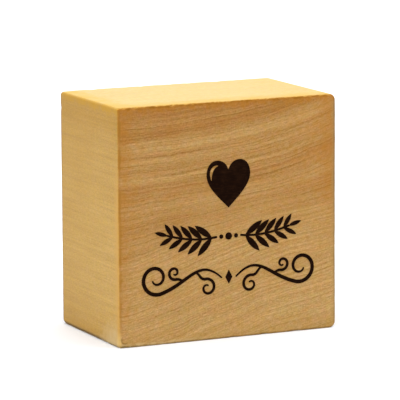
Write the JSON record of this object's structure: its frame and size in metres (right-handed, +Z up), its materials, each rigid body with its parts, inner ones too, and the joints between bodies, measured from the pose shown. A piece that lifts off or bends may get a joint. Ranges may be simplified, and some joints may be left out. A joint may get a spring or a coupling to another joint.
{
  "type": "rubber stamp",
  "caption": "Square hardwood block stamp with a cushioned rubber die on one face and a printed ornament of the same design on the opposite face.",
  "frame": {"origin": "middle of the face that the block stands on", "axes": "+X along the printed face, +Y from the printed face back to the rubber die, +Z up"},
  "size_m": [0.05, 0.0358, 0.05],
  "materials": {
    "wood": "fine-sanded hardwood with a thin satin oil",
    "adhesive": "clear double-sided film",
    "foam": "closed-cell foam with cut edges",
    "rubber": "matt engraved rubber",
    "ink": "dry black printing ink soaked into the grain"
  },
  "bodies": {
    "root": {"wood_block": "wood", "block_adhesive": "adhesive", "foam_cushion": "foam", "die_adhesive": "adhesive", "rubber_die": "rubber", "print_heart": "ink", "print_sprig": "ink", "print_flourish": "ink"}
  },
  "joints": []
}
